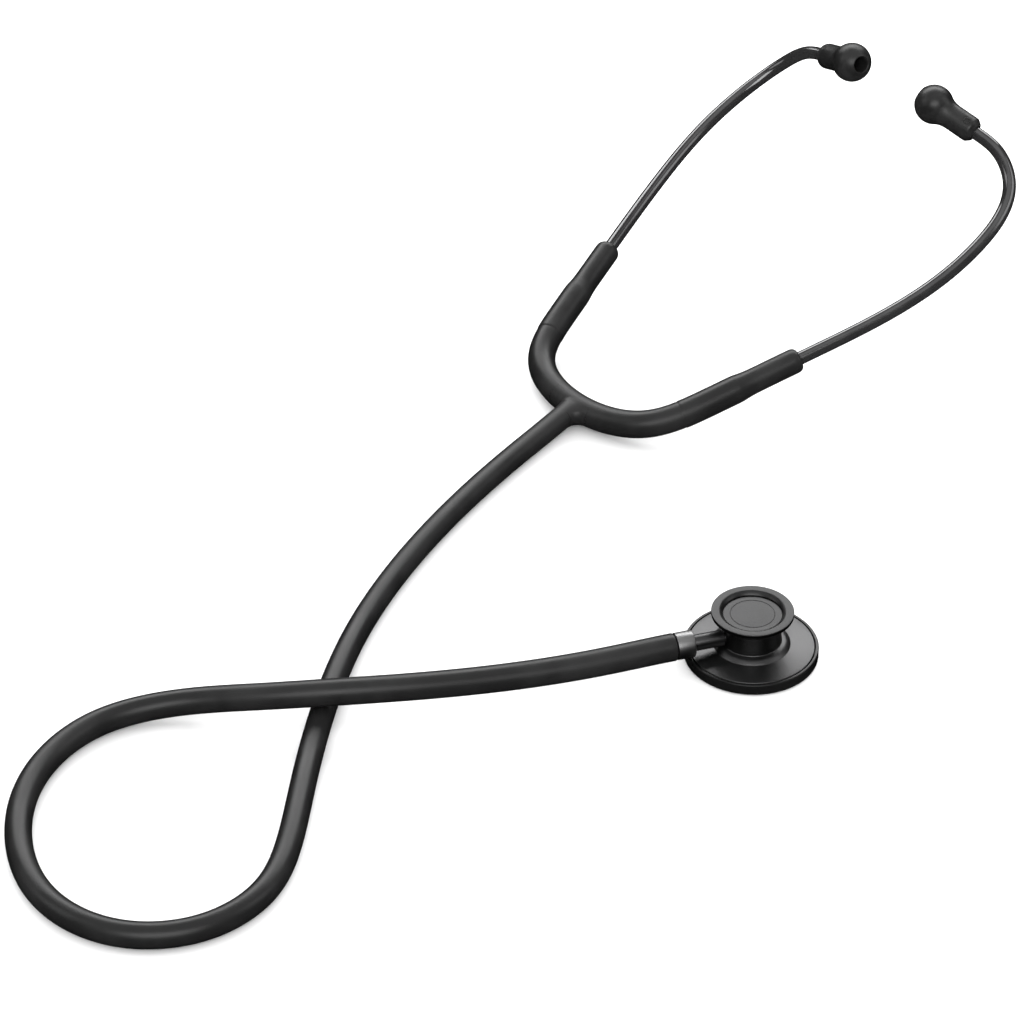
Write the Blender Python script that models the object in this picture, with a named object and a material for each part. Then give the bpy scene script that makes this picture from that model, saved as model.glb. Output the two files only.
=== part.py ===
"""Stethoscope with a swivelling two-sided chestpiece, lying on a table.

The script builds one object for each physical piece, in metres, with +Z up.
The origin is the centre of the large diaphragm's face, which rests on the table.
The stem and the hose leave the chestpiece along -X.
"""
from math import cos, pi, radians, sin

import bmesh
import bpy
import numpy as np
from mathutils import Matrix, Vector

MM = 0.001
GAP = 0.3                      # clearance kept between touching pieces, mm
FINE_POINTS = 400              # points read along each smooth curve before it is shared out

# Chestpiece, mm above the table and mm of radius about the vertical axis
RIM_R = 23.0                   # outside of the large diaphragm's rim
RIM_TOP = 4.3
DISC_R = 21.6                  # metal disc inside the rim
NECK_R = 10.1
NECK_LOW, NECK_HIGH = 6.45, 13.4
RING_R = 14.1                  # outside of the small side's retaining ring
RING_HOLE_R = 10.0
HEAD_TOP = 18.6
TURNED_SEGMENTS = 32

# Stem, mm along the horizontal axis that the chestpiece turns about
AXIS_Z = 9.4
STUB_R = 2.8
JOURNAL_R = 2.0
STEM_BORE_R = 1.2
STUB_START, STUB_END = -21.0, -10.4
JOURNAL_END = 2.2
COLLAR_R = 4.7
COLLAR_START, COLLAR_END = -27.4, -21.3
TAIL_R = 2.2
SNAP_X = -8.2
DETENT_X = -5.0
SEAL_X = -2.6

# Hose, mm: a stiff tube that rests on the table, crosses itself and rises to the stem
HOSE_R = 4.25
HOSE_THICK_AT_STEM = 1.13
HOSE_POINTS = 60
HOSE_ROUTE = [
    (-21.5, 146.3, 5.5), (-47.5, 127, 4.7), (-91.5, 88, 4.4), (-128, 43.5, 4.4),
    (-144.5, 15.5, 4.4), (-166.5, -32, 4.4), (-176, -54, 4.4), (-189.5, -74.5, 4.4),
    (-211.5, -85.5, 4.5), (-237.5, -80.5, 4.5), (-254.5, -61.5, 4.5), (-258.5, -27.5, 4.6),
    (-242.5, 8, 4.7), (-221, 22.5, 5.0), (-191.5, 22, 7.2), (-169.5, 12.5, 11.4),
    (-149.5, 5.5, 13.7), (-122.5, 1.5, 12.8), (-93.5, 0, 10.6), (-57.5, -0.8, 9.5),
    (-40, -0.3, 9.4), (-27.7, 0, 9.4),
]

# Headset: a mirror-symmetrical frame, with u along it, v across it and n out of its plane, mm
YOKE_CENTRE = (-14.25, 151.7, 5.8)
YOKE_AZIMUTH = 24.95           # direction of u over the table, degrees from +X
YOKE_PITCH = 15.15             # how far u rises from the table, degrees
HALF_ROUTE = [
    (0, 0, 0), (9.2, 28.4, 0), (31.2, 39.6, 0), (68.1, 51.4, 0), (108.5, 63.2, 0.4),
    (146.6, 67.5, 3.9), (174.6, 58.7, 12.2), (178.8, 49.2, 18.5), (178.8, 39.4, 21.8),
]
BALL_CENTRE = (176.5, 21.5, 28.7)
BALL_R = 7.5
NECK_END = (-21.5, 146.3, 5.5)  # where the moulded yoke meets the hose
BOW_R = 5.2
BOW_BORE_R = 2.7
JUNCTION_S = 9.0               # length of the moulded junction along each arm
BOW_END_S = 60.0
SLEEVE_END_S = 92.5
SLEEVE_SHAPE = [               # length along the half, radius
    (BOW_END_S, BOW_R), (66, 5.2), (70, 4.9), (74, 4.7), (80, 4.7), (86, 4.7), (90.5, 4.7),
    (91.8, 4.4), (SLEEVE_END_S, 3.7),
]
SLEEVE_BORE_R = 2.8
TUBE_R = 2.5
TUBE_BORE_R = 1.8
TUBE_START_S = 73.0
SPRING_END_S = 72.0
SPRING_WIDTH, SPRING_THICK = 3.8, 0.6
ARM_PIVOT = (10.0, 28.0, 0.0)
TIP_INSERT = 9.0               # how far the ear tube reaches into the eartip

COLOURS = {
    "satin_metal": ((0.13, 0.13, 0.13), 0.35, 0.9),
    "bright_metal": ((0.35, 0.35, 0.35), 0.3, 1.0),
    "black_rim": ((0.01, 0.01, 0.01), 0.25, 0.0),
    "diaphragm": ((0.1, 0.1, 0.1), 0.4, 0.0),
    "hose_rubber": ((0.02, 0.02, 0.02), 0.45, 0.0),
    "tube_metal": ((0.05, 0.05, 0.05), 0.3, 0.9),
    "eartip_rubber": ((0.025, 0.025, 0.025), 0.6, 0.0),
    "spring_steel": ((0.5, 0.5, 0.5), 0.35, 1.0),
}


def clear_scene():
    for item in list(bpy.data.objects):
        bpy.data.objects.remove(item, do_unlink=True)


def material(name):
    if name in bpy.data.materials:
        return bpy.data.materials[name]
    colour, rough, metal = COLOURS[name]
    made = bpy.data.materials.new(name)
    made.use_nodes = True
    shader = made.node_tree.nodes["Principled BSDF"]
    shader.inputs["Base Color"].default_value = (*colour, 1.0)
    shader.inputs["Roughness"].default_value = rough
    shader.inputs["Metallic"].default_value = metal
    return made


def add_object(name, data, finish, parent=None, shift=(0, 0, 0)):
    """Link an object; shift undoes the parent's place so the mesh keeps its own frame."""
    made = bpy.data.objects.new(name, data)
    bpy.context.scene.collection.objects.link(made)
    data.materials.append(material(finish))
    made.parent = parent
    made.location = Vector(shift)
    return made


def mesh_from(bm, name):
    bmesh.ops.remove_doubles(bm, verts=bm.verts, dist=1e-7)
    bmesh.ops.recalc_face_normals(bm, faces=bm.faces)
    data = bpy.data.meshes.new(name)
    bm.to_mesh(data)
    bm.free()
    data.shade_smooth()
    data.set_sharp_from_angle(angle=radians(35))
    return data


def empty(name, place, parent=None):
    made = bpy.data.objects.new(name, None)
    bpy.context.scene.collection.objects.link(made)
    made.parent = parent
    made.location = Vector(place)
    return made


def turned(name, profile, segments=TURNED_SEGMENTS, frame=None):
    """Spin a closed (radius, height) outline in mm about the frame's Z axis."""
    bm = bmesh.new()
    corners = [bm.verts.new((r * MM, 0, z * MM)) for r, z in profile]
    for a, b in zip(corners, corners[1:] + corners[:1]):
        if max(a.co.x, b.co.x) > 1e-9:
            bm.edges.new((a, b))
    bmesh.ops.spin(bm, geom=bm.verts[:] + bm.edges[:], cent=(0, 0, 0), axis=(0, 0, 1),
                   angle=2 * pi, steps=segments, use_merge=True)
    if frame is not None:
        bm.transform(frame)
    return mesh_from(bm, name)


def along_x(x=0.0, z=AXIS_Z):
    """Frame whose Z axis is the stem's axis, +X of the object."""
    return Matrix.Translation((x * MM, 0, z * MM)) @ Matrix.Rotation(radians(90), 4, "Y")


def axis_frame(start, direction):
    turn = Vector(direction).to_track_quat("Z", "Y").to_matrix().to_4x4()
    return Matrix.Translation(Vector(start) * MM) @ turn


def spline(route, count, first=None, last=None):
    """Points read evenly from a smooth cubic curve through a route, in mm.

    first and last fix the curve's direction at its ends; a free end doesn't bend.
    """
    knots = np.array(route, float)
    step = np.linalg.norm(np.diff(knots, axis=0), axis=1)
    at = np.concatenate([[0], np.cumsum(step)])
    size = len(knots)
    system, target = np.zeros((size, size)), np.zeros((size, 3))
    for i in range(1, size - 1):
        before, after = step[i - 1], step[i]
        system[i, i - 1:i + 2] = after, 2 * (before + after), before
        rise = after * (knots[i] - knots[i - 1]) / before
        target[i] = 3 * (rise + before * (knots[i + 1] - knots[i]) / after)
    for end, inner, chord, fixed in ((0, 1, knots[1] - knots[0], first),
                                     (-1, -2, knots[-1] - knots[-2], last)):
        if fixed is None:
            system[end, end], system[end, inner] = 2, 1
            target[end] = 3 * chord / step[end]
        else:
            system[end, end] = 1
            target[end] = np.array(fixed, float) / np.linalg.norm(fixed)
    slope = np.linalg.solve(system, target)

    def point(s):
        i = min(int(np.searchsorted(at, s, side="right")) - 1, size - 2)
        h, t = step[i], (s - at[i]) / step[i]
        return ((2 * t**3 - 3 * t**2 + 1) * knots[i] + (t**3 - 2 * t**2 + t) * h * slope[i]
                + (3 * t**2 - 2 * t**3) * knots[i + 1] + (t**3 - t**2) * h * slope[i + 1])

    fine = np.array([point(s) for s in np.linspace(0, at[-1], FINE_POINTS)])
    return stretch(fine, 0, run_lengths(fine)[-1], count)


def run_lengths(points):
    return np.concatenate([[0], np.cumsum(np.linalg.norm(np.diff(points, axis=0), axis=1))])


def at_lengths(points, lengths):
    """Points of a fine path at given lengths along it, in mm."""
    run = run_lengths(points)
    return np.column_stack([np.interp(lengths, run, points[:, k]) for k in range(3)])


def stretch(points, start, end, count):
    """The part of a fine path between two lengths along it."""
    return at_lengths(points, np.linspace(start, end, count))


def ring_frames(points):
    """Two cross directions at each point of a path, carried along without twist."""
    ways = np.gradient(points, axis=0)
    ways /= np.linalg.norm(ways, axis=1)[:, None]
    side = Vector((0, 0, 1)).cross(Vector(ways[0])).normalized()
    frames = []
    for way in map(Vector, ways):
        side = (side - way * side.dot(way)).normalized()
        frames.append((side, way.cross(side)))
    return frames


def swept(name, points, outer, inner=None, sides=16, frame=None):
    """A tube along a path in mm; with inner radii it is hollow and open at both ends."""
    bm = bmesh.new()
    frames = ring_frames(points)

    def rings(radii):
        made = []
        for centre, (side, up), radius in zip(points, frames, np.broadcast_to(radii, len(points))):
            turn = [2 * pi * k / sides for k in range(sides)]
            made.append([bm.verts.new((Vector(centre) + side * radius * cos(a)
                                       + up * radius * sin(a)) * MM) for a in turn])
        return made

    def bridge(ring_a, ring_b):
        for k in range(sides):
            bm.faces.new((ring_a[k - 1], ring_a[k], ring_b[k], ring_b[k - 1]))

    skin = rings(outer)
    for a, b in zip(skin, skin[1:]):
        bridge(a, b)
    if inner is None:
        bm.faces.new(skin[0])
        bm.faces.new(skin[-1])
    else:
        lining = rings(inner)
        for a, b in zip(lining, lining[1:]):
            bridge(a, b)
        bridge(skin[0], lining[0])
        bridge(skin[-1], lining[-1])
    if frame is not None:
        bm.transform(frame)
    return mesh_from(bm, name)


def strip(name, points, width, thick):
    """A flat strip along a path; its width stands along n."""
    bm = bmesh.new()
    ways = np.gradient(points, axis=0)
    previous = None
    for centre, way in zip(points, ways):
        across = Vector((0, 0, 1)).cross(Vector(way)).normalized() * thick / 2
        rise = Vector((0, 0, width / 2))
        corners = (across + rise, across - rise, -across - rise, -across + rise)
        ring = [bm.verts.new((Vector(centre) + corner) * MM) for corner in corners]
        if previous is None:
            bm.faces.new(ring)
        else:
            for k in range(4):
                bm.faces.new((previous[k - 1], previous[k], ring[k], ring[k - 1]))
        previous = ring
    bm.faces.new(previous)
    return mesh_from(bm, name)


def cutter(name, data, parent=None, shift=(0, 0, 0)):
    made = add_object(name, data, "satin_metal", parent, shift)
    made.hide_render = True
    made.display_type = "WIRE"
    return made


def boolean(target, tool, operation="DIFFERENCE"):
    change = target.modifiers.new(tool.name, "BOOLEAN")
    change.operation = operation
    change.object = tool


# ---------------------------------------------------------------- chestpiece

def chestpiece_profile():
    """Half section of the one-piece metal body, with a shallow cup at each end."""
    large_cup = [(0, 3.5), (2.0, 3.4), (18.9, 2.5), (18.9, 1.9)]
    disc = [(DISC_R, 1.9), (DISC_R, 4.1), (DISC_R - 0.25, RIM_TOP), (17.0, 4.7), (13.4, 5.1)]
    bead = [(12.5, 5.3), (12.1, 5.7), (11.4, 6.1), (10.7, 6.3), (NECK_R, NECK_LOW)]
    flare = [(NECK_R, NECK_HIGH), (10.3, 14.0), (10.8, 14.7), (11.6, 15.4), (12.7, 16.1)]
    small_seat = [(11.6, 16.1), (11.6, 16.5), (9.5, 16.5), (9.5, 16.2), (1.5, 15.3), (0, 15.3)]
    return large_cup + disc + bead + flare + small_seat


def make_body(pivot):
    shift = -pivot.location
    body = add_object("chestpiece_body", turned("body", chestpiece_profile()), "satin_metal",
                      pivot, shift)
    bore_r, bore_end, groove_r = JOURNAL_R + GAP, JOURNAL_END + 0.6, 3.0
    bore = [(0, -12), (bore_r, -12), (bore_r, SNAP_X - 0.8), (groove_r, SNAP_X - 0.8),
            (groove_r, SNAP_X + 0.8), (bore_r, SNAP_X + 0.8), (bore_r, bore_end), (0, bore_end)]
    boolean(body, cutter("bore_cut", turned("bore", bore, 16, along_x()), pivot, shift))
    channel = [(0, 2.5), (1.4, 2.5), (1.4, 16.2), (0, 16.2)]
    boolean(body, cutter("sound_cut", turned("sound", channel, 12), pivot, shift))
    pocket = [(0, 1.5), (1.0, 1.5), (1.0, 6.9), (0, 6.9)]
    frame = axis_frame((DETENT_X, 0, AXIS_Z), (0, 1, 0))
    boolean(body, cutter("pocket_cut", turned("pocket", pocket, 12, frame), pivot, shift))


def make_large_side(pivot):
    shift = -pivot.location
    skin = [(0, 0), (18.2, 0), (19.0, 1.1), (21.0, 1.1), (21.0, 1.6), (18.7, 1.6), (17.9, 0.5),
            (0, 0.5)]
    add_object("large_diaphragm", turned("large_skin", skin), "diaphragm", pivot, shift)
    rim = [(19.6, 0.3), (RIM_R - 0.6, 0.3), (RIM_R, 0.9), (RIM_R, RIM_TOP - 0.7),
           (RIM_R - 0.2, RIM_TOP - 0.2), (RIM_R - 0.7, RIM_TOP), (DISC_R + GAP, RIM_TOP - 0.15),
           (DISC_R + GAP, 1.9), (21.3, 1.9), (21.3, 0.8), (19.6, 0.8)]
    add_object("large_rim", turned("large_rim", rim), "black_rim", pivot, shift)


def make_small_side(pivot):
    shift = -pivot.location
    skin = [(0, 16.8), (11.2, 16.8), (11.2, 17.2), (0, 17.2)]
    add_object("small_diaphragm", turned("small_skin", skin), "diaphragm", pivot, shift)
    ring = [(RING_HOLE_R, 17.5), (11.9, 17.5), (11.9, 16.4), (13.2, 16.4), (RING_R, 17.4),
            (RING_R, HEAD_TOP - 0.2), (RING_R - 0.2, HEAD_TOP), (11.4, HEAD_TOP),
            (10.7, HEAD_TOP - 0.4), (RING_HOLE_R + 0.1, HEAD_TOP - 0.9)]
    add_object("small_ring", turned("small_ring", ring), "satin_metal", pivot, shift)


def make_detent(pivot):
    """Ball and coil spring that hold the chestpiece at each of its two listening positions."""
    shift = -pivot.location
    ball_y = JOURNAL_R + GAP + 0.7
    bm = bmesh.new()
    place = Matrix.Translation(Vector((DETENT_X, ball_y, AXIS_Z)) * MM)
    bmesh.ops.create_uvsphere(bm, u_segments=12, v_segments=8, radius=0.7 * MM, matrix=place)
    add_object("detent_ball", mesh_from(bm, "ball"), "bright_metal", pivot, shift)
    turns, coil_r, low, high = 3.5, 0.5, 4.25, 6.4
    count = 30
    coil = [(DETENT_X + coil_r * cos(2 * pi * turns * k / count), low + (high - low) * k / count,
             AXIS_Z + coil_r * sin(2 * pi * turns * k / count)) for k in range(count + 1)]
    data = swept("coil", np.array(coil), 0.13, sides=5)
    add_object("detent_spring", data, "spring_steel", pivot, shift)


# ---------------------------------------------------------------- stem

def make_stem():
    outline = [(STEM_BORE_R, COLLAR_START + GAP), (TAIL_R, COLLAR_START + GAP),
               (TAIL_R, STUB_START), (STUB_R - 0.2, STUB_START), (STUB_R, STUB_START + 0.2),
               (STUB_R, STUB_END - 0.5), (STUB_R - 0.5, STUB_END), (JOURNAL_R, STUB_END)]
    for centre, floor, half in ((SNAP_X, 1.6, 0.55), (SEAL_X, 1.55, 0.6)):
        outline += [(JOURNAL_R, centre - half), (floor, centre - half), (floor, centre + half),
                    (JOURNAL_R, centre + half)]
    outline += [(JOURNAL_R, JOURNAL_END), (0, JOURNAL_END), (0, JOURNAL_END - 0.8),
                (STEM_BORE_R, JOURNAL_END - 0.8)]
    stem = add_object("stem", turned("stem", outline, 16, along_x()), "satin_metal")
    port = [(0, 0), (0.9, 0), (0.9, 4), (0, 4)]
    frame = axis_frame((0, 0, AXIS_Z), (0, 0, -1))
    boolean(stem, cutter("port_cut", turned("port", port, 12, frame)))
    for side in (1, -1):
        bm = bmesh.new()
        place = Matrix.Translation(Vector((DETENT_X, side * 2.5, AXIS_Z)) * MM)
        bmesh.ops.create_uvsphere(bm, u_segments=12, v_segments=8, radius=0.8 * MM, matrix=place)
        boolean(stem, cutter(f"dimple_cut_{side}", mesh_from(bm, "dimple")))


def make_stem_rings():
    collar = [(TAIL_R + GAP, COLLAR_START), (COLLAR_R - 0.25, COLLAR_START),
              (COLLAR_R, COLLAR_START + 0.25), (COLLAR_R, COLLAR_END - 0.4),
              (COLLAR_R - 0.4, COLLAR_END), (TAIL_R + GAP, COLLAR_END)]
    add_object("stem_collar", turned("collar", collar, 24, along_x()), "bright_metal")
    snap = [(1.9, -0.25), (2.6, -0.25), (2.6, 0.25), (1.9, 0.25)]
    add_object("snap_ring", turned("snap_ring", snap, 16, along_x(SNAP_X)), "spring_steel")
    seal = [(1.93 + 0.18 * cos(2 * pi * k / 6), 0.18 * sin(2 * pi * k / 6)) for k in range(6)]
    add_object("stem_seal", turned("seal", seal, 16, along_x(SEAL_X)), "black_rim")


# ---------------------------------------------------------------- hose and yoke

def make_hose():
    to_yoke = np.subtract(YOKE_CENTRE, NECK_END)
    route = spline(HOSE_ROUTE, HOSE_POINTS, first=-to_yoke, last=(1, 0, 0))
    curve = bpy.data.curves.new("hose", "CURVE")
    curve.dimensions = "3D"
    curve.bevel_depth = HOSE_R * MM
    curve.bevel_resolution = 3
    curve.use_fill_caps = True
    line = curve.splines.new("POLY")
    line.points.add(HOSE_POINTS - 1)
    for k, (point, spot) in enumerate(zip(line.points, route)):
        share = k / (HOSE_POINTS - 1)
        point.co = (*(spot * MM), 1.0)
        point.radius = 1 + (HOSE_THICK_AT_STEM - 1) * share**2
    add_object("hose", curve, "hose_rubber")


def headset_frame():
    """Matrix from (u, v, n) to the object's frame."""
    across, rise = radians(YOKE_AZIMUTH), radians(YOKE_PITCH)
    along = Vector((cos(across) * cos(rise), sin(across) * cos(rise), sin(rise)))
    left = Vector((-sin(across), cos(across), 0))
    turn = Matrix((along, left, along.cross(left))).transposed().to_4x4()
    return Matrix.Translation(Vector(YOKE_CENTRE) * MM) @ turn


def half_path(side):
    """Fine path of one half of the headset, from the junction to inside the eartip."""
    start = np.array(HALF_ROUTE[-1], float)
    way = np.array(BALL_CENTRE) - start
    path = spline(HALF_ROUTE, 300, first=(0, 1, 0), last=way)
    inside = [start + way / np.linalg.norm(way) * TIP_INSERT * k / 12 for k in range(1, 13)]
    path = np.vstack([path, inside])
    return path * (1, side, 1)


def place(name, data, finish, pivot, headset):
    """Parent a headset piece to its pivot; its mesh stays in headset coordinates."""
    inverse = headset.matrix_world.inverted() @ pivot.matrix_world
    return add_object(name, data, finish, pivot, -inverse.translation)


def make_junction(headset):
    """Moulded Y: two short arms in the headset's plane and a neck towards the hose."""
    arms = np.vstack([stretch(half_path(-1), 0, JUNCTION_S, 6)[::-1],
                      stretch(half_path(1), 0, JUNCTION_S, 6)[1:]])
    junction = add_object("yoke_junction", swept("arms", arms, BOW_R, sides=14), "hose_rubber",
                          headset)
    inverse = headset_frame().inverted()
    neck_end = np.array(inverse @ (Vector(NECK_END) * MM)) / MM
    share = np.linspace(0, 1, 6)[:, None]
    neck = neck_end * 0.97 * (1 - share) + np.array([1.0, 0, 0]) * share
    neck_r = HOSE_R + 0.1 + 0.5 * share[:, 0]**2
    boolean(junction, cutter("neck_add", swept("neck", neck, neck_r, sides=14), headset), "UNION")
    lumen = np.vstack([stretch(half_path(-1), 0, JUNCTION_S + 1, 6)[::-1],
                       stretch(half_path(1), 0, JUNCTION_S + 1, 6)[1:]])
    boolean(junction, cutter("arm_lumen", swept("lumen", lumen, BOW_BORE_R, sides=12), headset))
    run_in = neck_end * (1.15 - 1.15 * share)
    boolean(junction, cutter("neck_lumen", swept("run_in", run_in, 2.0, sides=8), headset))


def make_leaf_spring(headset):
    """Flat steel spring inside the yoke that presses the two ear tubes together."""
    half = [stretch(half_path(side), 0, SPRING_END_S, 14) for side in (-1, 1)]
    path = np.vstack([half[0][::-1], half[1][1:]])
    data = strip("leaf", path, SPRING_WIDTH, SPRING_THICK)
    add_object("leaf_spring", data, "spring_steel", headset)


def sleeve_radius(s):
    """The sleeve swells over the end of the ear tube inside it, then thins to a round mouth."""
    return np.interp(s, *zip(*SLEEVE_SHAPE))


def make_half(headset, name, side):
    path = half_path(side)
    arm = empty(f"{name}_arm_pivot", Vector(ARM_PIVOT) * MM * Vector((1, side, 1)), headset)
    bow = stretch(path, JUNCTION_S + GAP, BOW_END_S, 14)
    add_object(f"{name}_yoke_bow", swept("bow", bow, BOW_R, BOW_BORE_R, 12), "hose_rubber",
               headset)
    lengths = [BOW_END_S + GAP, 63] + [s for s, _ in SLEEVE_SHAPE[1:]]
    cover = at_lengths(path, lengths)
    sleeve = swept("sleeve", cover, sleeve_radius(lengths), SLEEVE_BORE_R, 12)
    bpy.context.view_layer.update()
    place(f"{name}_yoke_sleeve", sleeve, "hose_rubber", arm, headset)

    mouth = at_lengths(path, [SLEEVE_END_S])[0] * MM
    twist = empty(f"{name}_tube_pivot", Vector(mouth) - arm.location, arm)
    bpy.context.view_layer.update()
    tube = stretch(path, TUBE_START_S, run_lengths(path)[-1], 28)
    place(f"{name}_ear_tube", swept("tube", tube, TUBE_R, TUBE_BORE_R, 10), "tube_metal", twist,
          headset)
    make_tip(headset, name, side, path, twist)


def make_tip(headset, name, side, path, twist):
    """Soft eartip with a ball end, screwed on a threaded ferrule at the tube's end."""
    mirror = np.array((1, side, 1))
    root = np.array(HALF_ROUTE[-1]) * mirror
    way = np.array(BALL_CENTRE) * mirror - root
    frame = axis_frame(root, way)
    ball_z = float(np.linalg.norm(way))
    thread = [(TUBE_R + GAP, 1.9)]
    for k in range(4):
        thread += [(3.2, 1.9 + 1.5 * k), (3.5, 2.65 + 1.5 * k)]
    thread += [(3.2, 7.9), (TUBE_R + GAP, 7.9)]
    place(f"{name}_tip_ferrule", turned("ferrule", thread, 12, frame), "tube_metal", twist,
          headset)

    parent_place = headset.matrix_world.inverted() @ twist.matrix_world
    pivot = empty(f"{name}_tip_pivot", Vector(root) * MM - parent_place.translation, twist)
    bpy.context.view_layer.update()
    outline = [(TUBE_R + GAP, 0), (3.5, 0), (4.75, 1.8), (4.9, 2.3), (4.9, 8.5), (4.95, 10.4),
               (5.15, 12.4), (5.5, 14.2)]
    start, stop = 128, 30
    for k in range(8):
        turn = radians(start + (stop - start) * k / 7)
        outline.append((BALL_R * sin(turn), ball_z + BALL_R * cos(turn)))
    outline += [(3.3, ball_z + 6.65), (2.9, ball_z + 6.3), (2.3, ball_z + 3.5), (1.7, ball_z),
                (1.7, 9.9), (3.8, 9.5), (3.8, 1.4), (TUBE_R + GAP, 1.2)]
    place(f"{name}_eartip", turned("eartip", outline, 20, frame), "eartip_rubber", pivot, headset)


def main():
    clear_scene()
    pivot = empty("chestpiece_pivot", (0, 0, AXIS_Z * MM))
    make_body(pivot)
    make_large_side(pivot)
    make_small_side(pivot)
    make_detent(pivot)
    make_stem()
    make_stem_rings()
    make_hose()
    headset = empty("headset", (0, 0, 0))
    headset.matrix_world = headset_frame()
    bpy.context.view_layer.update()
    make_junction(headset)
    make_leaf_spring(headset)
    for name, side in (("left", 1), ("right", -1)):
        make_half(headset, name, side)
    bpy.context.view_layer.update()


main()
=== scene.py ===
"""A stethoscope lying on a table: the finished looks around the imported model."""
from math import cos, pi, radians, sin

import bpy
import numpy as np
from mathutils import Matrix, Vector


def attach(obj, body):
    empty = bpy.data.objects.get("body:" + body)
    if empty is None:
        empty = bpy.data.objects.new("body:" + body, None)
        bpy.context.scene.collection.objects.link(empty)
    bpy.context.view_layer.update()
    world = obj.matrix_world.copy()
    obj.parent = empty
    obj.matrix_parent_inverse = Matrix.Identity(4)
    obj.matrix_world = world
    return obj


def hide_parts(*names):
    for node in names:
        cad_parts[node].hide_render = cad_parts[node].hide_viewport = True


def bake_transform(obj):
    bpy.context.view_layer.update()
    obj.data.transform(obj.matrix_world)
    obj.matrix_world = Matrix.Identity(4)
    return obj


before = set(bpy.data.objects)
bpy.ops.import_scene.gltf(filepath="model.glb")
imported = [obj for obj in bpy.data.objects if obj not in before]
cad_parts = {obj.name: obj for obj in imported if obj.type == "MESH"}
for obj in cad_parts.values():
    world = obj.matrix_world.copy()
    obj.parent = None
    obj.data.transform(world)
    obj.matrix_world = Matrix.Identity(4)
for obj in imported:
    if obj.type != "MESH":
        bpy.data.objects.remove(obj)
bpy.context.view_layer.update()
# MM turns a size in mm into metres.
MM = 0.001
SHARP_ANGLE = radians(35)

# ---------------------------------------------------------------- camera
# A long lens on a stand in front of the table, looking down at the whole instrument.
camera_data = bpy.data.cameras.new("camera")
camera_data.lens = 140.6
camera_data.sensor_width = 36.0
camera = bpy.data.objects.new("camera", camera_data)
camera.location = (-0.39206, -1.00389, 0.84058)
camera.rotation_euler = (radians(54.0), 0.0, radians(-17.0))
bpy.context.scene.collection.objects.link(camera)
bpy.context.scene.camera = camera
bpy.context.scene.view_settings.view_transform = "Standard"

# ---------------------------------------------------------------- hose
# One length of thick black vinyl tubing, about 9 mm across. It leaves the moulded yoke, lies on
# the table in a loop, passes over itself once and is pushed over the barb of the metal stem.
HOSE_R = 4.25
HOSE_SWELL_AT_STEM = 0.13
# The hose is a little thicker just at the yoke. HOSE_LIP rounds its far end: each pair is a
# distance before the end and the radius lost there.
NECK_FLARE, NECK_FADE = 0.09, 60
HOSE_LIP = [(0.45, 0.03), (0.25, 0.12), (0.1, 0.28), (0.0, 0.6)]
HOSE_RINGS = 420
ROUTE_STEPS = 1600
NECK_END = (-21.5, 146.3, 5.5)
YOKE_CENTRE = (-14.25, 151.7, 5.8)
HOSE_ROUTE = [
    NECK_END, (-47.5, 127, 4.7), (-91.5, 88, 4.4), (-128, 43.5, 4.4),
    (-144.5, 15.5, 4.4), (-166.5, -32, 4.4), (-176, -54, 4.4), (-189.5, -74.5, 4.4),
    (-211.5, -85.5, 4.5), (-237.5, -80.5, 4.5), (-254.5, -61.5, 4.5), (-258.5, -27.5, 4.6),
    (-242.5, 8, 4.7), (-221, 22.5, 5.0), (-191.5, 22, 7.2), (-169.5, 12.5, 11.4),
    (-149.5, 5.5, 13.7), (-122.5, 1.5, 12.8), (-93.5, 0, 10.6), (-57.5, -0.8, 9.5),
    (-40, -0.3, 9.4), (-27.7, 0, 9.4),
]


def run_lengths(points):
    """Length along a path up to each of its points."""
    return np.concatenate([[0], np.cumsum(np.linalg.norm(np.diff(points, axis=0), axis=1))])


def at_lengths(points, lengths):
    """Points of a fine path at given lengths along it."""
    run = run_lengths(points)
    return np.column_stack([np.interp(lengths, run, points[:, k]) for k in range(3)])


def smooth_route(route, first, last):
    """Fine path through the knots of a route, leaving and arriving in the given directions."""
    knots = np.array(route, float)
    step = np.linalg.norm(np.diff(knots, axis=0), axis=1)
    at = np.concatenate([[0], np.cumsum(step)])
    size = len(knots)
    system, target = np.zeros((size, size)), np.zeros((size, 3))
    for i in range(1, size - 1):
        before, after = step[i - 1], step[i]
        system[i, i - 1:i + 2] = after, 2 * (before + after), before
        rise = after * (knots[i] - knots[i - 1]) / before
        target[i] = 3 * (rise + before * (knots[i + 1] - knots[i]) / after)
    for end, way in ((0, first), (-1, last)):
        system[end, end] = 1
        target[end] = np.array(way, float) / np.linalg.norm(way)
    slope = np.linalg.solve(system, target)
    fine = []
    for s in np.linspace(0, at[-1], ROUTE_STEPS):
        i = min(int(np.searchsorted(at, s, side="right")) - 1, size - 2)
        h, t = step[i], (s - at[i]) / step[i]
        fine.append((2 * t**3 - 3 * t**2 + 1) * knots[i] + (t**3 - 2 * t**2 + t) * h * slope[i]
                    + (3 * t**2 - 2 * t**3) * knots[i + 1] + (t**3 - t**2) * h * slope[i + 1])
    return np.array(fine)


def work_on(piece):
    """Select one piece alone and make it the active one."""
    bpy.ops.object.select_all(action="DESELECT")
    piece.select_set(True)
    bpy.context.view_layer.objects.active = piece


def edit_all():
    """Open the active piece in edit mode with all of it selected."""
    bpy.ops.object.mode_set(mode="EDIT")
    bpy.ops.mesh.select_all(action="SELECT")


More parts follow.
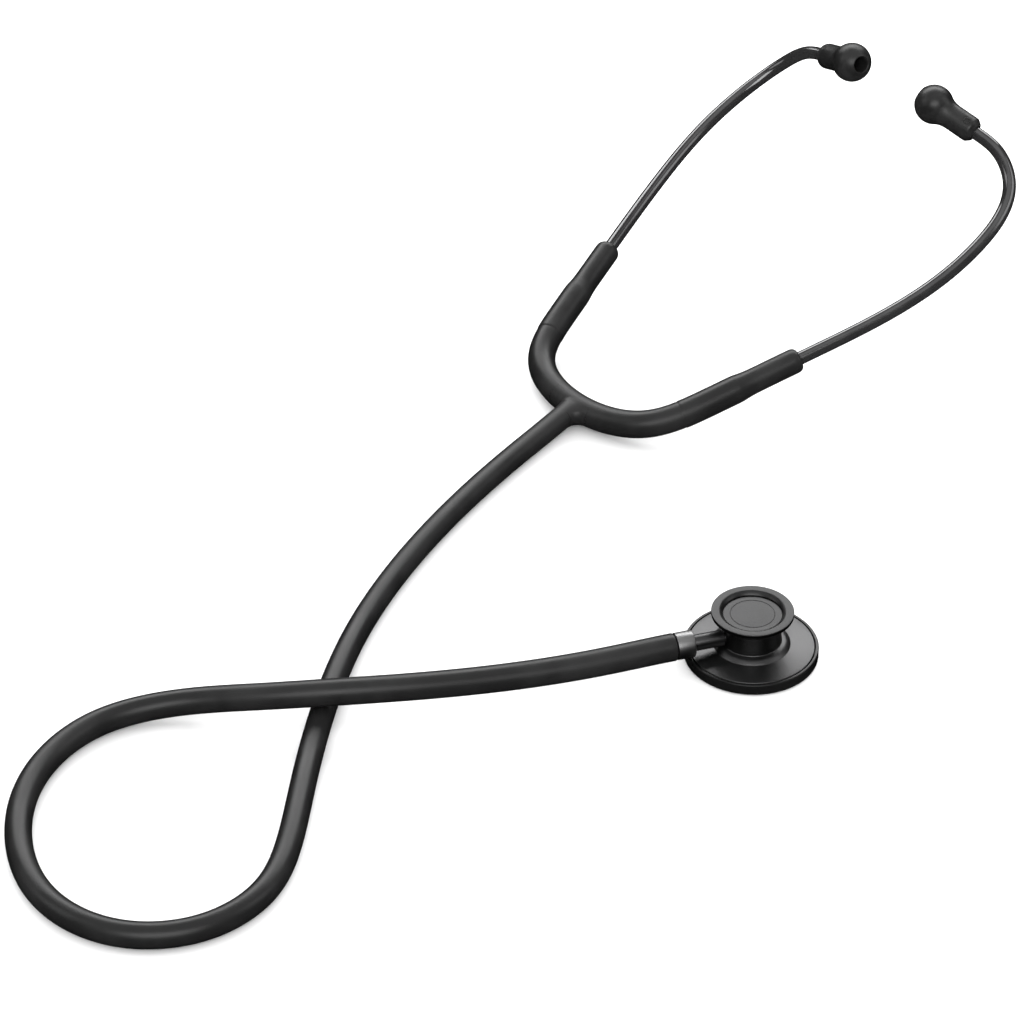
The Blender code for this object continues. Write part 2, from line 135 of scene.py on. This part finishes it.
def weld(piece):
    """Merge the doubles of a finished shape and turn its faces outwards."""
    work_on(piece)
    edit_all()
    bpy.ops.mesh.remove_doubles(threshold=1e-6)
    bpy.ops.mesh.normals_make_consistent(inside=False)
    bpy.ops.object.mode_set(mode="OBJECT")


def smooth(piece):
    """Shade a piece smooth, with creases where its faces meet at more than SHARP_ANGLE."""
    work_on(piece)
    bpy.ops.object.shade_smooth_by_angle(angle=SHARP_ANGLE)


def tube(name, points, radii, sides):
    """A closed round rod along a path in mm, with its own radius at each point."""
    bpy.ops.object.select_all(action="DESELECT")
    bpy.ops.curve.primitive_nurbs_path_add()
    piece = bpy.context.object
    piece.name = name
    line = piece.data.splines[0]
    line.type = "POLY"
    line.points.add(len(points) - len(line.points))
    for knot, point, radius in zip(line.points, points, np.broadcast_to(radii, len(points))):
        knot.co = (*(np.array(point) * MM), 1.0)
        knot.radius = radius
    piece.data.bevel_depth = MM
    piece.data.bevel_resolution = (sides - 4) // 2
    bpy.ops.object.convert(target="MESH")
    piece = bpy.context.object
    edit_all()
    bpy.ops.mesh.fill_holes(sides=0)
    bpy.ops.object.mode_set(mode="OBJECT")
    weld(piece)
    smooth(piece)
    return piece


def group_nodes(name, inputs, outputs):
    """An empty node group with named float inputs and outputs."""
    group = bpy.data.node_groups.new(name, "ShaderNodeTree")
    for label, value in inputs:
        socket = group.interface.new_socket(label, in_out="INPUT", socket_type="NodeSocketFloat")
        socket.default_value = value
    for label in outputs:
        group.interface.new_socket(label, in_out="OUTPUT", socket_type="NodeSocketFloat")
    return group, group.nodes.new("NodeGroupInput"), group.nodes.new("NodeGroupOutput")


# Moulded and blasted surfaces share a fine even grain over slow, soft patches from handling.
grain, grain_in, grain_out = group_nodes(
    "surface_grain", [("Grains per metre", 3000.0), ("Patches per metre", 60.0)],
    ["Grain", "Patch"])
place = grain.nodes.new("ShaderNodeTexCoord")
fine_noise = grain.nodes.new("ShaderNodeTexNoise")
fine_noise.inputs["Detail"].default_value = 3.0
fine_noise.inputs["Roughness"].default_value = 0.6
slow_noise = grain.nodes.new("ShaderNodeTexNoise")
slow_noise.inputs["Detail"].default_value = 4.0
slow_noise.inputs["Distortion"].default_value = 0.6
spread = grain.nodes.new("ShaderNodeMapRange")
spread.interpolation_type = "SMOOTHSTEP"
spread.inputs["From Min"].default_value = 0.35
spread.inputs["From Max"].default_value = 0.68
grain.links.new(place.outputs["Object"], fine_noise.inputs["Vector"])
grain.links.new(place.outputs["Object"], slow_noise.inputs["Vector"])
grain.links.new(grain_in.outputs["Grains per metre"], fine_noise.inputs["Scale"])
grain.links.new(grain_in.outputs["Patches per metre"], slow_noise.inputs["Scale"])
grain.links.new(slow_noise.outputs["Fac"], spread.inputs["Value"])
grain.links.new(fine_noise.outputs["Fac"], grain_out.inputs["Grain"])
grain.links.new(spread.outputs["Result"], grain_out.inputs["Patch"])


def finish_material(name, dark, light, rough, grains, patches, height, **sockets):
    """A grained finish: two close colours and two roughnesses over slow patches, fine bump."""
    made = bpy.data.materials.new(name)
    made.use_nodes = True
    tree = made.node_tree
    shader = tree.nodes["Principled BSDF"]
    for label, value in sockets.items():
        shader.inputs[label.replace("_", " ")].default_value = value
    texture = tree.nodes.new("ShaderNodeGroup")
    texture.node_tree = grain
    texture.name = "grain"
    texture.inputs["Grains per metre"].default_value = grains
    texture.inputs["Patches per metre"].default_value = patches
    colour = tree.nodes.new("ShaderNodeMix")
    colour.name = "colour"
    colour.data_type = "RGBA"
    colour.inputs["A"].default_value = (*dark, 1.0)
    colour.inputs["B"].default_value = (*light, 1.0)
    gloss = tree.nodes.new("ShaderNodeMapRange")
    gloss.name = "gloss"
    gloss.inputs["To Min"].default_value = rough[0]
    gloss.inputs["To Max"].default_value = rough[1]
    bump = tree.nodes.new("ShaderNodeBump")
    bump.name = "bump"
    bump.inputs["Strength"].default_value = 0.6
    bump.inputs["Distance"].default_value = height * MM
    tree.links.new(texture.outputs["Patch"], colour.inputs["Factor"])
    tree.links.new(texture.outputs["Patch"], gloss.inputs["Value"])
    tree.links.new(texture.outputs["Grain"], bump.inputs["Height"])
    tree.links.new(colour.outputs["Result"], shader.inputs["Base Color"])
    tree.links.new(gloss.outputs["Result"], shader.inputs["Roughness"])
    tree.links.new(bump.outputs["Normal"], shader.inputs["Normal"])
    return made


def dress(piece, made, slot, body=None, *nodes):
    """Give a finished piece its material, body and the CAD nodes it stands for. The slot argument
    is not used.
    """
    piece.data.materials.clear()
    piece.data.materials.append(made)
    if body:
        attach(piece, body)
    if nodes:
        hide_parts(*nodes)


vinyl = finish_material("black_vinyl", (0.008, 0.008, 0.0081), (0.013, 0.013, 0.0131),
                        (0.37, 0.44), 1700.0, 45.0, 0.05, IOR=1.46)

hose_path = smooth_route(HOSE_ROUTE, np.subtract(NECK_END, YOKE_CENTRE), (1, 0, 0))
hose_run = run_lengths(hose_path)[-1]
lip_before_end, lip_drop = np.array(HOSE_LIP).T
hose_stations = np.concatenate([np.linspace(0, hose_run - 0.7, HOSE_RINGS),
                                hose_run - lip_before_end])
hose_share = hose_stations / hose_run
hose_radii = (HOSE_R * (1 + HOSE_SWELL_AT_STEM * hose_share**2)
              + NECK_FLARE * np.exp(-hose_stations / NECK_FADE))
hose_radii[-len(lip_drop):] -= lip_drop
hose_line = at_lengths(hose_path, hose_stations)
hose = tube("vinyl_hose", hose_line, hose_radii, 56)
dress(hose, vinyl, "hose_rubber", "tubing", "hose")

# ---------------------------------------------------------------- chestpiece
# A two-sided head turned from one bar of metal and bead-blasted to a dark satin: a wide disc
# below, a narrow neck that the stem enters, and a smaller flared head on top.
DISC_R, RIM_TOP, NECK_R, AXIS_Z = 21.6, 4.3, 10.1, 9.4
SIDES = 128
CORNER_STEPS = 4


def rounded(outline):
    """Outline corners of (radius, height, rounding) replaced by short curves."""
    flat = [np.array(corner[:2], float) for corner in outline]
    soft = []
    for k, corner in enumerate(outline):
        here = flat[k]
        reach = corner[2] if len(corner) > 2 else 0.0
        if not reach or k in (0, len(outline) - 1):
            soft.append(tuple(here))
            continue
        back, on = flat[k - 1] - here, flat[k + 1] - here
        reach = min(reach, 0.48 * np.linalg.norm(back), 0.48 * np.linalg.norm(on))
        start = here + back / np.linalg.norm(back) * reach
        stop = here + on / np.linalg.norm(on) * reach
        for t in np.linspace(0, 1, CORNER_STEPS + 1):
            soft.append(tuple((1 - t)**2 * start + 2 * t * (1 - t) * here + t**2 * stop))
    return soft


def drawn_line(name, points):
    """A line of edges drawn point by point, in mm."""
    bpy.ops.object.select_all(action="DESELECT")
    bpy.ops.mesh.primitive_plane_add(size=MM)
    piece = bpy.context.object
    piece.name = name
    bpy.ops.object.mode_set(mode="EDIT")
    bpy.ops.mesh.merge(type="CENTER")
    bpy.ops.transform.translate(value=np.array(points[0]) * MM)
    for before, after in zip(points, points[1:]):
        step = (np.array(after) - np.array(before)) * MM
        bpy.ops.mesh.extrude_region_move(TRANSFORM_OT_translate={"value": step})
    bpy.ops.object.mode_set(mode="OBJECT")
    return piece


def turned(name, outline, sides=SIDES, centre=(0, 0, 0), turn=(0, 0, 0), loop=False):
    """Spin a (radius, height) outline in mm about the axis through centre."""
    outline = rounded(outline)
    if loop:
        outline.append(outline[0])
    piece = drawn_line(name, [(r, 0, z) for r, z in outline])
    edit_all()
    bpy.ops.mesh.spin(steps=sides, angle=2 * pi, center=(0, 0, 0), axis=(0, 0, 1))
    bpy.ops.object.mode_set(mode="OBJECT")
    weld(piece)
    piece.location = Vector(centre) * MM
    piece.rotation_euler = turn
    bpy.ops.object.transform_apply(location=True, rotation=True, scale=True)
    smooth(piece)
    return piece


satin = finish_material("blasted_satin_metal", (0.10, 0.10, 0.101), (0.12, 0.12, 0.121),
                        (0.36, 0.43), 1500.0, 38.0, 0.05, Metallic=1.0)
body_outline = [
    (0, 3.5), (2.0, 3.4, 0.5), (18.9, 2.5, 0.1), (18.9, 1.9, 0.05),
    (DISC_R, 1.9, 0.05), (DISC_R, RIM_TOP, 0.3), (17.0, 4.72, 2.0), (13.3, 5.12, 0.25),
    (12.9, 5.5, 0.4), (11.7, 6.4, 1.0), (NECK_R, 6.75, 0.4),
    (NECK_R, 13.6, 0.5), (10.5, 14.4, 0.6), (11.7, 15.6, 0.6), (13.0, 16.3, 0.15),
    (11.7, 16.36), (9.5, 16.36, 0.05), (9.5, 16.2), (1.5, 15.3), (0, 15.3),
]
chest = turned("chestpiece_metal", body_outline)
dress(chest, satin, "satin_metal", "chestpiece", "chestpiece_body")

# The big side's rim is a glossy black plastic ring that screws on and holds the diaphragm.
glossy_black = finish_material("glossy_black_plastic", (0.004, 0.004, 0.004),
                               (0.006, 0.006, 0.006), (0.28, 0.35), 900.0, 30.0, 0.004,
                               IOR=1.42)
rim_outline = [
    (19.6, 0.3), (23.0, 0.3, 0.6), (23.0, 4.3, 0.65), (21.95, 4.28, 0.15), (21.9, 1.9),
    (21.3, 1.9), (21.3, 0.8), (19.6, 0.8, 0.1),
]
rim = turned("large_rim_ring", rim_outline, loop=True)
dress(rim, glossy_black, "black_rim", "chestpiece", "large_rim")

# The listening sheet below is a thin stiff resin sheet, domed by its flange, with a matt face.
sheet_grey = finish_material("resin_sheet", (0.085, 0.087, 0.09), (0.105, 0.107, 0.11),
                             (0.36, 0.46), 3500.0, 50.0, 0.012, IOR=1.55)
sheet_outline = [
    (0, 0), (18.2, 0, 0.4), (19.0, 1.1, 0.3), (21.0, 1.1, 0.1), (21.0, 1.6, 0.1),
    (18.7, 1.6, 0.3), (17.9, 0.5, 0.3), (0, 0.5),
]
large_sheet = turned("large_listening_sheet", sheet_outline)
dress(large_sheet, sheet_grey, "diaphragm", "chestpiece", "large_diaphragm")

# The small side closes with a satin metal ring over a flat plate set below its lip.
ring_outline = [
    (10.0, 17.5), (11.9, 17.5), (11.9, 16.4), (13.0, 16.4, 0.1), (14.1, 17.3, 0.25),
    (14.1, 18.6, 0.25), (11.4, 18.6, 0.3), (10.1, 17.7, 0.3),
]
# The ring and plate get a darker copy of the body's satin metal: painted shade that makes the
# up-facing top read darker than the body under the same light.
satin_shaded_top = finish_material("satin_metal_painted_dark_top", (0.058, 0.058, 0.0585), (0.07, 0.07, 0.0705),
                            (0.38, 0.45), 1500.0, 38.0, 0.05, Metallic=1.0)
small_ring = turned("small_rim_ring", ring_outline, loop=True)
dress(small_ring, satin_shaded_top, "satin_metal", "chestpiece", "small_ring")
plate_outline = [
    (0, 16.8), (11.2, 16.8, 0.1), (11.2, 17.2, 0.1), (7.7, 17.2, 0.08), (7.55, 17.08, 0.08),
    (7.4, 17.2, 0.08), (0, 17.2),
]
plate = turned("small_side_plate", plate_outline)
dress(plate, satin_shaded_top, "diaphragm", "chestpiece", "small_diaphragm")

# ---------------------------------------------------------------- stem
# A turned steel stub that the head swivels on. Its barb is inside the hose, and a plain collar
# hides the hose's end. The swivel's spring, ball, clip and seal are inside the head.
COLLAR_R = 4.7
bright = finish_material("satin_grey_plate", (0.3, 0.3, 0.301), (0.34, 0.34, 0.341),
                         (0.38, 0.44), 3000.0, 60.0, 0.015, Metallic=1.0)
along_x = (0, radians(90), 0)
stub_outline = [
    (0, -27.1), (2.2, -27.1), (2.2, -21.0), (2.8, -21.0, 0.15), (2.8, -10.4, 0.9), (2.0, -10.4),
    (2.0, 2.2), (0, 2.2),
]
stub = turned("stem_stub", stub_outline, 64, (0, 0, AXIS_Z), along_x)
dress(stub, satin, "satin_metal", "tubing", "stem")
collar_outline = [
    (2.5, -27.4), (COLLAR_R, -27.4, 0.25), (COLLAR_R, -21.3, 0.45), (2.5, -21.3, 0.1),
]
collar = turned("stem_collar_ring", collar_outline, 80, (0, 0, AXIS_Z), along_x, loop=True)
dress(collar, bright, "bright_metal", "tubing", "stem_collar")

spring_steel = finish_material("spring_steel", (0.42, 0.42, 0.43), (0.5, 0.5, 0.5), (0.22, 0.3),
                               2500.0, 120.0, 0.008, Metallic=1.0)
seal_rubber = finish_material("seal_rubber", (0.01, 0.01, 0.01), (0.014, 0.014, 0.014),
                              (0.5, 0.6), 2500.0, 90.0, 0.02, IOR=1.5)


def dress_node(node, made):
    """Give a carried-over CAD node its material."""
    for place_in_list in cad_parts[node].material_slots:
        place_in_list.material = made


dress_node("detent_ball", bright)
dress_node("detent_spring", spring_steel)
dress_node("snap_ring", spring_steel)
dress_node("stem_seal", seal_rubber)

# ---------------------------------------------------------------- yoke junction
# The Y is moulded with the hose in one piece of vinyl: its neck swells into the bow with a soft
# web on one side and a tight crease on the other.
# Names that end in _S are lengths along one half of the headset from the middle of the yoke.
BOW_R = 5.12
JUNCTION_S = 9.0
ROUGH_PAST = 1.2
HEADSET_AZIMUTH, HEADSET_PITCH = radians(24.95), radians(15.15)
HALF_ROUTE = [
    (0, 0, 0), (9.2, 28.4, 0), (31.2, 39.6, 0), (68.1, 51.4, 0), (108.5, 63.2, 0.4),
    (146.6, 67.5, 3.9), (174.6, 58.7, 12.2), (178.8, 49.2, 18.5), (178.8, 39.4, 21.8),
]
BALL_CENTRE = (176.5, 21.5, 28.7)
NECK_INSIDE = 3.0
NECK_GROWTH = 0.3
WEB_SOFT, WEB_TIGHT, WEB_CHANGE = 5.0, 1.5, 3
CREASE_GAIN, CREASE_LEAST = 1.2, 0.02
SETTLE_PASSES, SLOPE_STEP = 5, 0.02
headset_along = Vector((cos(HEADSET_AZIMUTH) * cos(HEADSET_PITCH),
                        sin(HEADSET_AZIMUTH) * cos(HEADSET_PITCH), sin(HEADSET_PITCH)))
headset_left = Vector((-sin(HEADSET_AZIMUTH), cos(HEADSET_AZIMUTH), 0))
headset_turn = np.array([headset_along, headset_left, headset_along.cross(headset_left)])


def on_headset(points):
    """(u, v, n) of the headset's own frame to the table's frame, in mm."""
    return np.array(points, float) @ headset_turn + np.array(YOKE_CENTRE)


tip_way = np.array(BALL_CENTRE) - np.array(HALF_ROUTE[-1])
tip_way = tip_way / np.linalg.norm(tip_way)
half_line = smooth_route(HALF_ROUTE, (0, 1, 0), tip_way)
half_line = np.vstack([half_line, half_line[-1] + np.outer(np.linspace(0.75, 9, 12), tip_way)])
half_paths = {"left": half_line, "right": half_line * (1, -1, 1)}

arm_stations = np.linspace(0, JUNCTION_S + ROUGH_PAST, 40)
arms_flat = np.vstack([at_lengths(half_paths["right"], arm_stations)[::-1],
                       at_lengths(half_paths["left"], arm_stations)[1:]])
neck_flat = (np.array(NECK_END) - np.array(YOKE_CENTRE)) @ headset_turn.T
neck_length = np.linalg.norm(neck_flat)
neck_way = neck_flat / neck_length
neck_line = np.outer(np.linspace(neck_length + ROUGH_PAST, NECK_INSIDE, 12), neck_way)


def neck_radius(share):
    """Neck radius from its hose end, at share 0, to the bow, at share 1."""
    return HOSE_R + NECK_FLARE + NECK_GROWTH * np.clip(share, 0, 1)**2


def skin_distance(points):
    """Signed distance from the moulding's skin, filleted only where the neck meets the bow."""
    nearest, from_bow = np.full(len(points), 1e9), np.zeros((len(points), 3))
    for a, ab in zip(arms_flat, arms_flat[1:] - arms_flat[:-1]):
        t = np.clip((points - a) @ ab / (ab @ ab), 0, 1)
        off = points - a - t[:, None] * ab
        away = np.linalg.norm(off, axis=1)
        closer = away < nearest
        nearest[closer], from_bow[closer] = away[closer], off[closer]
    along = np.clip(points @ neck_way, NECK_INSIDE, neck_length + ROUGH_PAST)
    from_neck = points - along[:, None] * neck_way
    apart = np.linalg.norm(from_neck, axis=1)
    bow, neck = nearest - BOW_R, apart - neck_radius(1 - along / neck_length)
    crease = 1 - (from_bow * from_neck).sum(axis=1) / np.maximum(nearest * apart, 1e-6)
    soft = np.interp(points[:, 1], [-WEB_CHANGE, WEB_CHANGE], [WEB_SOFT, WEB_TIGHT])
    soft = soft * np.clip(CREASE_GAIN * crease, CREASE_LEAST, 1)
    close = np.maximum(soft - np.abs(bow - neck), 0) / soft
    return np.minimum(bow, neck) - close**2 * soft / 4


def settle_on_skin(piece):
    """Move every point of a rough shape onto the filleted skin."""
    mesh = piece.data
    flat = np.zeros(len(mesh.vertices) * 3)
    mesh.vertices.foreach_get("co", flat)
    points = (flat.reshape(-1, 3) / MM - np.array(YOKE_CENTRE)) @ headset_turn.T
    for _ in range(SETTLE_PASSES):
        here = skin_distance(points)
        slope = np.column_stack([
            (skin_distance(points + SLOPE_STEP * way) - here) / SLOPE_STEP for way in np.eye(3)])
        steep = np.maximum((slope**2).sum(axis=1), 0.2)
        points = points - slope * (here / steep)[:, None]
    mesh.vertices.foreach_set("co", (on_headset(points) * MM).ravel())
    mesh.update()


def trim(piece, spot, way):
    """Cut a piece off square past a spot and close it there."""
    work_on(piece)
    edit_all()
    bpy.ops.mesh.bisect(plane_co=spot, plane_no=way, use_fill=True, clear_outer=True)
    bpy.ops.object.mode_set(mode="OBJECT")


junction = tube("yoke_moulding", on_headset(arms_flat), BOW_R, 40)
neck_stub = tube("neck_stub", on_headset(neck_line),
                 neck_radius(np.linspace(-0.1, 1, 12)), 40)
work_on(junction)
neck_stub.select_set(True)
bpy.ops.object.join()
remesh = junction.modifiers.new("one_skin", "REMESH")
remesh.mode = "VOXEL"
remesh.voxel_size = 0.32 * MM
bpy.ops.object.modifier_apply(modifier=remesh.name)
settle_on_skin(junction)
cuts = [(neck_flat, neck_way)]
for path in half_paths.values():
    before, at_cut, after = at_lengths(path, [JUNCTION_S - 0.1, JUNCTION_S + 0.1, JUNCTION_S + 0.3])
    cuts.append((at_cut, after - before))
for spot, way_out in cuts:
    trim(junction, Vector(on_headset([spot])[0] * MM), Vector(way_out @ headset_turn))
smooth(junction)
dress(junction, vinyl, "hose_rubber", "tubing", "yoke_junction")

# ---------------------------------------------------------------- yoke halves and leaf spring
# Each half of the moulding is a curved vinyl tube that ends in a thicker sleeve over the ear
# tube's end. A flat steel spring runs inside both halves and pulls the ear tubes together.
SLEEVE_END_S = 92.5
SLEEVE_SHAPE = [
    (JUNCTION_S, BOW_R), (43.2, BOW_R), (43.8, 5.06), (44.4, 5.27), (65, 5.27), (67, 5.22),
    (69, 5.0), (71, 4.82), (73, 4.73), (75, 4.7), (90.0, 4.7), (90.8, 4.66), (91.4, 4.54),
    (91.9, 4.32), (92.3, 4.02), (SLEEVE_END_S, 3.75),
]
SLEEVE_MOUTH_WALL, SLEEVE_MOUTH_DEPTH = 1.0, 9.0
SPRING_END_S, SPRING_WIDTH, SPRING_THICK = 72.0, 3.8, 0.6


def hollow_end(piece, spot, rim, deep):
    """Sink a round hole into the flat end of a rod: rim is the wall's width, in mm."""
    work_on(piece)
    spot = Vector(spot) * MM
    caps = [face for face in piece.data.polygons if len(face.vertices) > 4]
    cap = min(caps, key=lambda face: (face.center - spot).length)
    inward = -cap.normal.copy()
    for item in (*piece.data.polygons, *piece.data.edges, *piece.data.vertices):
        item.select = False
    cap.select = True
    bpy.ops.object.mode_set(mode="EDIT")
    bpy.ops.mesh.select_mode(type="FACE")
    bpy.ops.mesh.inset(thickness=rim * MM)
    bpy.ops.mesh.extrude_region_move(TRANSFORM_OT_translate={"value": inward * deep * MM})
    bpy.ops.mesh.select_mode(type="VERT")
    bpy.ops.object.mode_set(mode="OBJECT")
    smooth(piece)


for side, path in half_paths.items():
    stations = np.unique(np.concatenate([np.arange(JUNCTION_S, 90, 0.7),
                                         [s for s, _ in SLEEVE_SHAPE]]))
    radii = np.interp(stations, *zip(*SLEEVE_SHAPE))
    half = tube(f"{side}_yoke_half", on_headset(at_lengths(path, stations)), radii, 56)
    mouth = on_headset(at_lengths(path, [SLEEVE_END_S]))[0]
    hollow_end(half, mouth, SLEEVE_MOUTH_WALL, SLEEVE_MOUTH_DEPTH)
    dress(half, vinyl, "hose_rubber", None, f"{side}_yoke_bow", f"{side}_yoke_sleeve")
    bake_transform(half)

    leaf_line = at_lengths(path, np.linspace(0, SPRING_END_S, 60))
    leaf = drawn_line(f"{side}_leaf_spring_half", on_headset(leaf_line - (0, 0, SPRING_WIDTH / 2)))
    edit_all()
    rise = Vector(headset_turn[2]) * SPRING_WIDTH * MM
    bpy.ops.mesh.extrude_region_move(TRANSFORM_OT_translate={"value": rise})
    bpy.ops.object.mode_set(mode="OBJECT")
    wall = leaf.modifiers.new("thickness", "SOLIDIFY")
    wall.thickness = SPRING_THICK * MM
    wall.offset = 0.0
    bpy.ops.object.modifier_apply(modifier=wall.name)
    weld(leaf)
    smooth(leaf)
    dress(leaf, spring_steel, "spring_steel", None, "leaf_spring")
    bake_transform(leaf)

# ---------------------------------------------------------------- ear tubes
# Two bent metal tubes, 5 mm across, plated glossy black. They turn in the sleeves, and a
# ridged ferrule at each tube's end holds its eartip.
TUBE_R, TUBE_START_S, TUBE_RINGS = 2.5, 86.0, 230
TUBE_WALL, TUBE_BORE_DEPTH = 0.7, 6.0
black_metal = finish_material("black_plated_metal", (0.125, 0.125, 0.1265),
                              (0.15, 0.15, 0.1515), (0.15, 0.19), 1500.0, 70.0, 0.003,
                              Metallic=0.88)
for side, path in half_paths.items():
    run = run_lengths(path)[-1]
    tube_line = on_headset(at_lengths(path, np.linspace(TUBE_START_S, run, TUBE_RINGS)))
    ear_tube = tube(f"{side}_metal_tube", tube_line, TUBE_R, 40)
    hollow_end(ear_tube, tube_line[-1], TUBE_WALL, TUBE_BORE_DEPTH)
    dress(ear_tube, black_metal, "tube_metal", f"{side}_tube", f"{side}_ear_tube")
    dress_node(f"{side}_tip_ferrule", black_metal)

# ---------------------------------------------------------------- eartips
# Soft black rubber tips: a plain sleeve over the ferrule, a long concave waist, and a ball with
# a flattened end and a wide sound hole. A small round mould mark stands on the sleeve.
BALL_R = 7.5
TIP_SLEEVE_R = 4.95
# The waist's curve touches the sleeve and the ball; the three after its size are in degrees.
WAIST_R, WAIST_CENTRE_R, WAIST_BEHIND_BALL = 8.0, 13.0, 8.44
WAIST_ARC, BALL_FROM, BALL_TO = 33, 123, 28
MARK_AT, MARK_OUT, MARK_R, MARK_THICK_R = 4.3, 4.88, 1.1, 0.22
tip_rubber = finish_material("soft_tip_rubber", (0.008, 0.008, 0.008), (0.014, 0.014, 0.014),
                             (0.36, 0.46), 1500.0, 160.0, 0.04, IOR=1.5)
for side, mirror in (("left", 1), ("right", -1)):
    root = on_headset([np.array(HALF_ROUTE[-1]) * (1, mirror, 1)])[0]
    ball = on_headset([np.array(BALL_CENTRE) * (1, mirror, 1)])[0]
    ball_z = float(np.linalg.norm(ball - root))
    tip_outline = [(2.8, 0.0), (3.5, 0.0, 0.25), (4.8, 1.7, 0.35), (TIP_SLEEVE_R, 2.3, 0.2)]
    tip_outline += [(TIP_SLEEVE_R, 2.5 + 0.25 * k) for k in range(33)]
    for k in range(1, 12):
        angle = radians(WAIST_ARC * k / 12)
        tip_outline.append((WAIST_CENTRE_R - WAIST_R * cos(angle),
                            ball_z - WAIST_BEHIND_BALL + WAIST_R * sin(angle)))
    for k in range(20):
        angle = radians(BALL_FROM - (BALL_FROM - BALL_TO) * k / 19)
        tip_outline.append((BALL_R * sin(angle), ball_z + BALL_R * cos(angle)))
    tip_outline += [(3.3, ball_z + 6.72, 0.15), (3.0, ball_z + 6.4, 0.15), (2.85, ball_z + 5.5),
                    (2.7, ball_z - 3), (1.7, ball_z - 4), (1.7, 9.9), (3.8, 9.5), (3.8, 1.4),
                    (2.8, 1.2)]
    aim = Vector(ball - root).to_track_quat("Z", "Y")
    tip = turned(f"{side}_rubber_tip", tip_outline, 96, root, aim.to_euler(), loop=True)
    axis = Vector(ball - root).normalized()
    outwards = Vector(np.array((-0.2, 0.2 * mirror, 0.96)) @ headset_turn)
    outwards = (outwards - axis * outwards.dot(axis)).normalized()
    bpy.ops.mesh.primitive_torus_add(
        location=(Vector(root) + axis * MARK_AT + outwards * MARK_OUT) * MM,
        rotation=outwards.to_track_quat("Z", "Y").to_euler(), major_radius=MARK_R * MM,
        minor_radius=MARK_THICK_R * MM, major_segments=36, minor_segments=12)
    bpy.ops.object.shade_smooth()
    # The mark is still selected, so it joins the tip.
    tip.select_set(True)
    bpy.context.view_layer.objects.active = tip
    bpy.ops.object.join()
    dress(tip, tip_rubber, "eartip_rubber", f"{side}_tip", f"{side}_eartip")

# ---------------------------------------------------------------- table and light
# A plain pale table, a wide softbox low behind the instrument and another around the camera,
# with narrow ones at the sides and a large dim one overhead.
bpy.ops.object.select_all(action="DESELECT")
bpy.ops.mesh.primitive_plane_add(size=30.0, location=(0, 0, -0.0001))
table = bpy.context.object
table.name = "table"
table.visible_glossy = False
table_material = bpy.data.materials.new("pale_table")
table_material.use_nodes = True
table_shader = table_material.node_tree.nodes["Principled BSDF"]
table_shader.inputs["Base Color"].default_value = (0.86, 0.86, 0.86, 1.0)
table_shader.inputs["Roughness"].default_value = 0.7
table.data.materials.append(table_material)

LOOK_AT = Vector((-0.03, 0.07, 0.01))


def softbox(name, azimuth, elevation, distance, width, height, radiance):
    """A rectangular light that faces the instrument from a direction over the table."""
    turn, up = radians(azimuth), radians(elevation)
    way = Vector((sin(turn) * cos(up), -cos(turn) * cos(up), sin(up)))
    data = bpy.data.lights.new(name, "AREA")
    data.shape = "RECTANGLE"
    data.size, data.size_y = width, height
    data.energy = radiance * pi * width * height
    lamp = bpy.data.objects.new(name, data)
    lamp.location = LOOK_AT + way * distance
    lamp.rotation_euler = way.to_track_quat("Z", "Y").to_euler()
    bpy.context.scene.collection.objects.link(lamp)


softbox("back_softbox", 163, 38, 1.9, 2.6, 0.8, 4.8)
softbox("front_softbox", -17, 38, 2.4, 2.0, 1.3, 3.4)
softbox("left_softbox", -100, 35, 2.2, 0.9, 1.2, 1.5)
softbox("right_softbox", 70, 35, 2.2, 0.9, 1.2, 1.5)
softbox("top_softbox", -17, 86, 2.2, 2.6, 1.8, 0.55)

world = bpy.data.worlds.new("studio")
world.use_nodes = True
world.node_tree.nodes["Background"].inputs["Color"].default_value = (0.9, 0.9, 0.9, 1.0)
world.node_tree.nodes["Background"].inputs["Strength"].default_value = 1.4
world.cycles_visibility.glossy = False
bpy.context.scene.world = world
